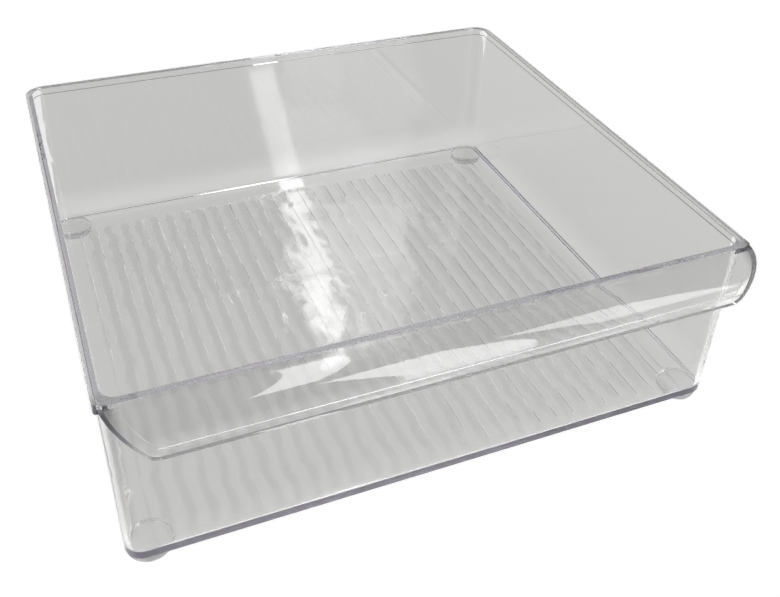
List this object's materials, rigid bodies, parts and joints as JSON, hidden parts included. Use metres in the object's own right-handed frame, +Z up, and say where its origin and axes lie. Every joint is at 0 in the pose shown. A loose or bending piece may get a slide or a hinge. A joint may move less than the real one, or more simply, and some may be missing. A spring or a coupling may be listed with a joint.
{
  "type": "fridge storage bin",
  "caption": "Clear open storage bin with a ribbed floor, a stepped rim band and a curled handle lip along its front, standing on small soft corner feet.",
  "frame": {"origin": "on the shelf that the feet stand on, under the middle of the bounding box", "axes": "+Z up, -Y towards the handle lip at the front, +X to the right as seen from the handle side"},
  "size_m": [0.318, 0.3108, 0.1022],
  "materials": {
    "clear_tray": "clear, slightly smoky, polished",
    "soft_foot": "translucent soft plastic, frosted"
  },
  "bodies": {
    "root": {"bin_tray": "clear_tray", "foot_front_left": "soft_foot", "foot_front_right": "soft_foot", "foot_rear_left": "soft_foot", "foot_rear_right": "soft_foot"}
  },
  "joints": []
}
